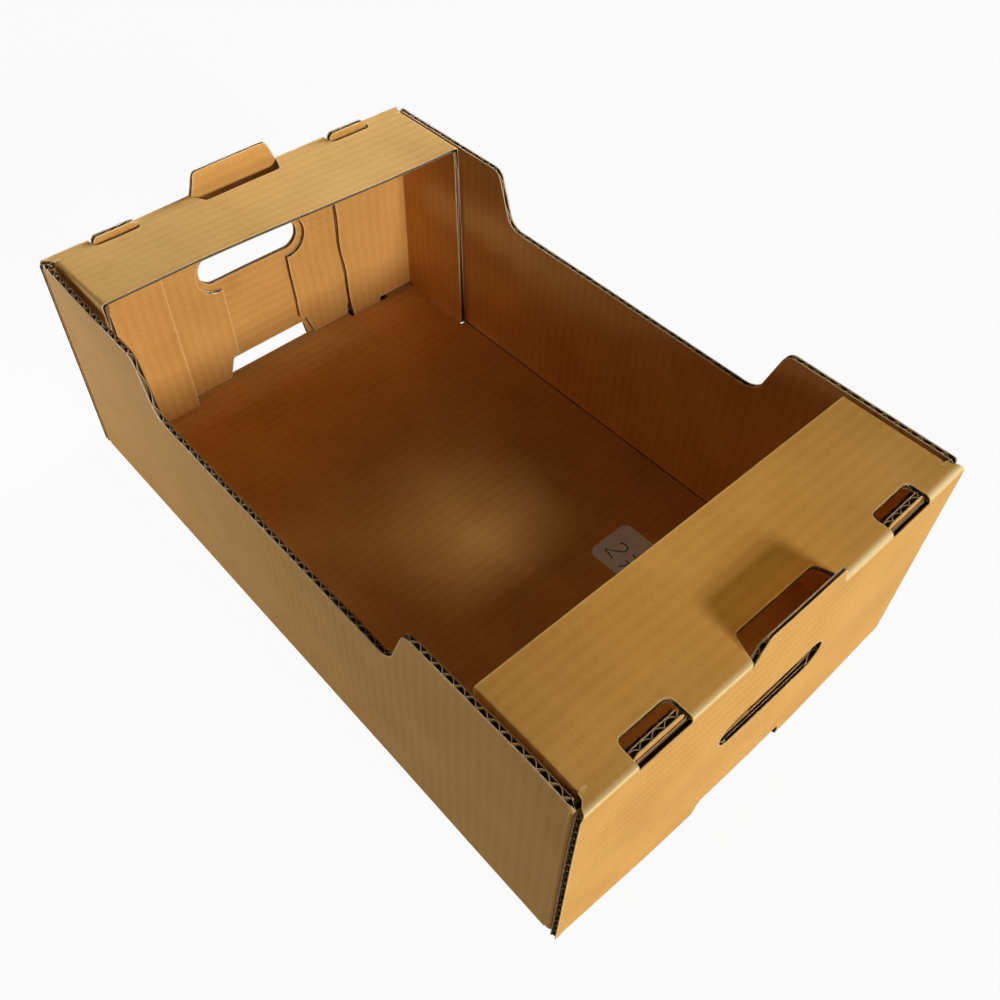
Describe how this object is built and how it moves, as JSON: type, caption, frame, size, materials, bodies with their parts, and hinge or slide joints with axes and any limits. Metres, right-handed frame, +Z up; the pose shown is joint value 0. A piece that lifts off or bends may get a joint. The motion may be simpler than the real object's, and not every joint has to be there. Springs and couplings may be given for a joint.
{
  "type": "cardboard tray box",
  "caption": "Open folded tray of corrugated board with lowered side walls, a shelf, hand hole and stacking tabs at each end, and a small paper label on the floor.",
  "frame": {"origin": "centre of the underside of the floor", "axes": "+Z up, +Y along the long side towards the end opposite the label, +X across the tray"},
  "size_m": [0.3, 0.5, 0.181],
  "materials": {
    "kraft_board": "uncoated brown kraft liner, matt, with raw fluted edges",
    "label_paper": "matt white paper, slightly grey"
  },
  "bodies": {
    "root": {"tray": "kraft_board", "label": "label_paper"}
  },
  "joints": []
}
